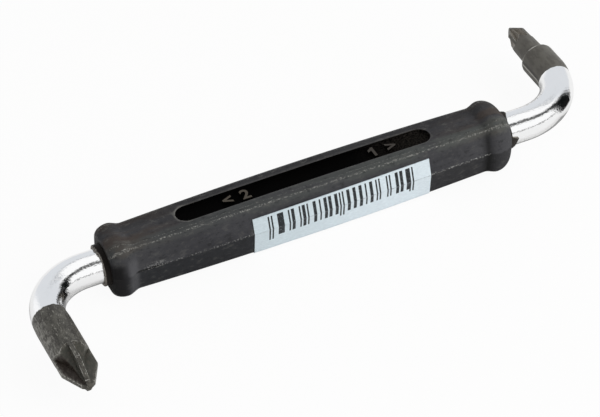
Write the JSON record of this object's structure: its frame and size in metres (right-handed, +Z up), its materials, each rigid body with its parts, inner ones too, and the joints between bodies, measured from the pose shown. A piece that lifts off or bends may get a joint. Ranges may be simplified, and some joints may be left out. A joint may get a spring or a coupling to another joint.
{
  "type": "offset screwdriver",
  "caption": "Z-bent steel bar with a large and a small cross tip on opposite right-angle arms and a moulded grip between them, for driving screws in tight places.",
  "frame": {"origin": "on the axis of the bar's straight run, midway between the axes of the two arms", "axes": "+X along the bar's straight run towards the small end, +Y the way the small tip points, +Z up out of the plane of the bends, through the slotted face of the grip"},
  "size_m": [0.1274, 0.0618, 0.0126],
  "materials": {
    "plated_steel": "polished chrome plating, with blackened ends",
    "black_moulding": "matte black moulding with worn edges",
    "label_paper": "self-adhesive paper label with printed bars"
  },
  "bodies": {
    "root": {"bar": "plated_steel", "grip": "black_moulding", "label": "label_paper"}
  },
  "joints": []
}
